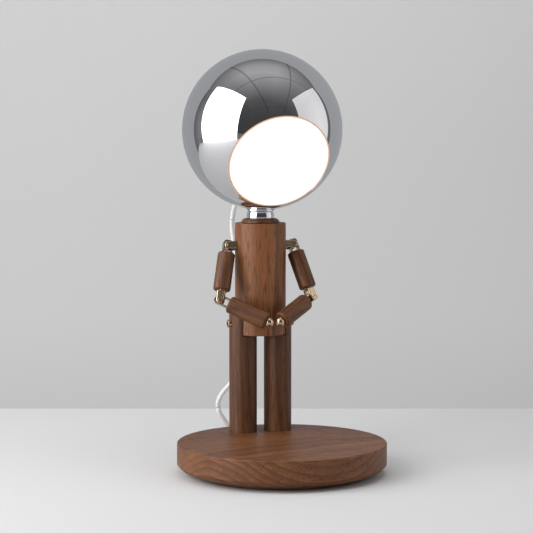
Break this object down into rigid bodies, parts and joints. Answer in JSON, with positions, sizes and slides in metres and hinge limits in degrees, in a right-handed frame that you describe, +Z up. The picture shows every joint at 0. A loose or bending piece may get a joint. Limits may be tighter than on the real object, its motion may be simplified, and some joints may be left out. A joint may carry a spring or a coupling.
{
  "type": "robot shaped desk lamp",
  "caption": "Desk lamp shaped like a small robot: mirror ball head with a lit round face, walnut body, swing arms, round walnut base, cord with inline switch and plug.",
  "frame": {"origin": "middle of the base's underside, on the surface that it stands on", "axes": "+Z up the figure, -Y the way the figure faces, +X to the right of someone who looks at its face"},
  "size_m": [0.2, 0.2878, 0.4042],
  "materials": {
    "walnut": "oiled walnut with an open grain",
    "satin_brass": "satin, lightly aged",
    "mirror_chrome": "mirror polished",
    "magnet": "nickel plated",
    "slip_pad": "low friction plastic",
    "foot_pad": "soft, matt",
    "cast_weight": "as cast",
    "zinc_steel": "zinc plated",
    "lit_diffuser": "opal, lit",
    "white_paint": "matt white",
    "board": "white coated",
    "cast_aluminium": "bare",
    "black_plastic": "moulded",
    "cord_fitting": "translucent",
    "cord_sheath": "clear over pale cores",
    "tie_band": "smooth",
    "switch_plastic": "moulded",
    "rocker_plastic": "moulded",
    "plug_plastic": "moulded",
    "plated_pins": "nickel plated"
  },
  "bodies": {
    "stand": {"base_disc": "walnut", "base_weight": "cast_weight", "base_pad": "foot_pad", "leg_left": "walnut", "leg_right": "walnut", "leg_screws": "zinc_steel", "torso": "walnut", "hip_nut": "satin_brass", "hip_screws": "satin_brass", "neck_cap": "walnut", "neck_magnet": "magnet", "shoulder_socket_left": "satin_brass", "shoulder_socket_right": "satin_brass", "cord_drop": "cord_sheath", "cord_coil": "cord_sheath", "coil_tie": "tie_band", "cord_switch_lead": "cord_sheath", "switch_case": "switch_plastic", "cord_plug_lead": "cord_sheath", "plug_body": "plug_plastic", "plug_pins": "plated_pins"},
    "neck_turn": {"neck_pad": "slip_pad"},
    "neck_nod": {"neck_ball": "mirror_chrome"},
    "head": {"neck_collar": "mirror_chrome", "head_magnet": "magnet", "head_shell": "mirror_chrome", "light_ring": "mirror_chrome", "diffuser": "lit_diffuser", "light_pan": "white_paint", "led_board": "board", "heat_sink": "cast_aluminium", "led_driver": "black_plastic", "cord_gland": "cord_fitting"},
    "shoulder_fork_left": {"shoulder_clevis_left": "satin_brass", "shoulder_pin_left": "satin_brass"},
    "upper_arm_left": {"upper_arm_strap_left": "satin_brass", "upper_arm_bush_left": "satin_brass", "upper_arm_left": "walnut", "elbow_socket_left": "satin_brass"},
    "elbow_fork_left": {"elbow_clevis_left": "satin_brass", "elbow_pin_left": "satin_brass"},
    "forearm_left": {"forearm_strap_left": "satin_brass", "forearm_bush_left": "satin_brass", "forearm_left": "walnut", "hand_ball_left": "satin_brass"},
    "shoulder_fork_right": {"shoulder_clevis_right": "satin_brass", "shoulder_pin_right": "satin_brass"},
    "upper_arm_right": {"upper_arm_strap_right": "satin_brass", "upper_arm_bush_right": "satin_brass", "upper_arm_right": "walnut", "elbow_socket_right": "satin_brass"},
    "elbow_fork_right": {"elbow_clevis_right": "satin_brass", "elbow_pin_right": "satin_brass"},
    "forearm_right": {"forearm_strap_right": "satin_brass", "forearm_bush_right": "satin_brass", "forearm_right": "walnut", "hand_ball_right": "satin_brass"},
    "rocker": {"switch_rocker": "rocker_plastic"}
  },
  "joints": [
    {"name": "head_pan", "type": "hinge", "parent": "stand", "child": "neck_turn", "pos_m": [0, 0.0667, 0.2418], "axis": [0, 0, 1], "range_deg": [-60, 60], "deforming": ["cord_drop"]},
    {"name": "head_nod", "type": "hinge", "parent": "neck_turn", "child": "neck_nod", "pos_m": [0, 0.0667, 0.2418], "axis": [1, 0, 0], "range_deg": [-20, 20], "deforming": ["cord_drop"]},
    {"name": "head_roll", "type": "hinge", "parent": "neck_nod", "child": "head", "pos_m": [0, 0.0667, 0.2418], "axis": [0, 1, 0], "range_deg": [-20, 20], "deforming": ["cord_drop"]},
    {"name": "shoulder_swing_left", "type": "hinge", "parent": "stand", "child": "shoulder_fork_left", "pos_m": [-0.0336, 0.0667, 0.2133], "axis": [-1, 0, 0], "range_deg": [-5, 90]},
    {"name": "shoulder_raise_left", "type": "hinge", "parent": "shoulder_fork_left", "child": "upper_arm_left", "pos_m": [-0.0336, 0.0667, 0.2133], "axis": [0, 0.9403, -0.3404], "range_deg": [0, 75]},
    {"name": "elbow_twist_left", "type": "hinge", "parent": "upper_arm_left", "child": "elbow_fork_left", "pos_m": [-0.0466, 0.04826, 0.16237], "axis": [-0.2334, -0.331, -0.9143], "range_deg": [0, 60]},
    {"name": "elbow_bend_left", "type": "hinge", "parent": "elbow_fork_left", "child": "forearm_left", "pos_m": [-0.0466, 0.04826, 0.16237], "axis": [0.3469, 0.8501, -0.3963], "range_deg": [-2, 70]},
    {"name": "shoulder_swing_right", "type": "hinge", "parent": "stand", "child": "shoulder_fork_right", "pos_m": [0.0336, 0.0667, 0.2133], "axis": [-1, 0, 0], "range_deg": [-5, 90]},
    {"name": "shoulder_raise_right", "type": "hinge", "parent": "shoulder_fork_right", "child": "upper_arm_right", "pos_m": [0.0336, 0.0667, 0.2133], "axis": [0, -0.9403, 0.3404], "range_deg": [0, 75]},
    {"name": "elbow_twist_right", "type": "hinge", "parent": "upper_arm_right", "child": "elbow_fork_right", "pos_m": [0.0466, 0.04826, 0.16237], "axis": [-0.2334, 0.331, 0.9143], "range_deg": [0, 60]},
    {"name": "elbow_bend_right", "type": "hinge", "parent": "elbow_fork_right", "child": "forearm_right", "pos_m": [0.0466, 0.04826, 0.16237], "axis": [0.3469, -0.8501, 0.3963], "range_deg": [-2, 70]},
    {"name": "switch_rock", "type": "hinge", "parent": "stand", "child": "rocker", "pos_m": [-0.00049, 0.11119, 0.0118], "axis": [-0.0242, 0.9997, 0], "range_deg": [-14, 0]}
  ]
}
